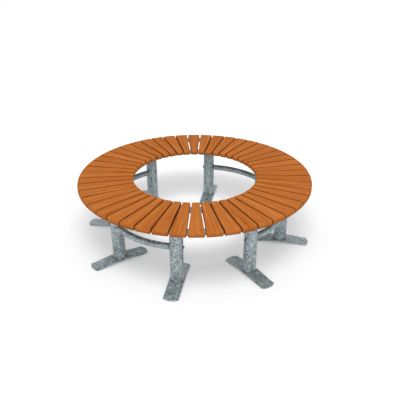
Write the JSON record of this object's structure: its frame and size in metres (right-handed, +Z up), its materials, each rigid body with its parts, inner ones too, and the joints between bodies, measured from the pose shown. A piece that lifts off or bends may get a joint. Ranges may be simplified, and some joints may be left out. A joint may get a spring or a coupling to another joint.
{
  "type": "tree bench",
  "caption": "Round backless bench of radial hardwood slats on flat steel rings and round galvanised legs, open in the middle for a tree trunk.",
  "frame": {"origin": "middle of the tree opening, on the ground plane under the feet", "axes": "+Z up through the tree opening; -Y is the front, between the legs leg_tube_2 and leg_tube_3"},
  "size_m": [1.5224, 1.5224, 0.45],
  "materials": {
    "oiled_hardwood": "oiled hardwood boards, planed and with rounded edges",
    "galvanised_steel": "hot-dip galvanised, mottled zinc spangle",
    "zinc_fasteners": "zinc plated, dull"
  },
  "bodies": {
    "root": {"bearer_1": "galvanised_steel", "bearer_2": "galvanised_steel", "bearer_3": "galvanised_steel", "bearer_4": "galvanised_steel", "bearer_5": "galvanised_steel", "bearer_6": "galvanised_steel", "bearer_7": "galvanised_steel", "bearer_8": "galvanised_steel", "foot_1": "galvanised_steel", "foot_2": "galvanised_steel", "foot_3": "galvanised_steel", "foot_4": "galvanised_steel", "foot_5": "galvanised_steel", "foot_6": "galvanised_steel", "foot_7": "galvanised_steel", "foot_8": "galvanised_steel", "inner_joint_plates": "galvanised_steel", "inner_ring_q1": "galvanised_steel", "inner_ring_q2": "galvanised_steel", "inner_ring_q3": "galvanised_steel", "inner_ring_q4": "galvanised_steel", "joint_bolts": "zinc_fasteners", "leg_tube_1": "galvanised_steel", "leg_tube_2": "galvanised_steel", "leg_tube_3": "galvanised_steel", "leg_tube_4": "galvanised_steel", "leg_tube_5": "galvanised_steel", "leg_tube_6": "galvanised_steel", "leg_tube_7": "galvanised_steel", "leg_tube_8": "galvanised_steel", "outer_joint_plates": "galvanised_steel", "outer_ring_q1": "galvanised_steel", "outer_ring_q2": "galvanised_steel", "outer_ring_q3": "galvanised_steel", "outer_ring_q4": "galvanised_steel", "ring_bolts": "zinc_fasteners", "ring_washers": "zinc_fasteners", "seat_slats_q1_left": "oiled_hardwood", "seat_slats_q1_middle": "oiled_hardwood", "seat_slats_q1_right": "oiled_hardwood", "seat_slats_q2_left": "oiled_hardwood", "seat_slats_q2_middle": "oiled_hardwood", "seat_slats_q2_right": "oiled_hardwood", "seat_slats_q3_left": "oiled_hardwood", "seat_slats_q3_middle": "oiled_hardwood", "seat_slats_q3_right": "oiled_hardwood", "seat_slats_q4_left": "oiled_hardwood", "seat_slats_q4_middle": "oiled_hardwood", "seat_slats_q4_right": "oiled_hardwood", "slat_screws": "zinc_fasteners", "tie_bolts": "zinc_fasteners", "tie_plugs": "zinc_fasteners", "tie_tube_q1": "galvanised_steel", "tie_tube_q2": "galvanised_steel", "tie_tube_q3": "galvanised_steel", "tie_tube_q4": "galvanised_steel", "tie_washers": "zinc_fasteners"}
  },
  "joints": []
}
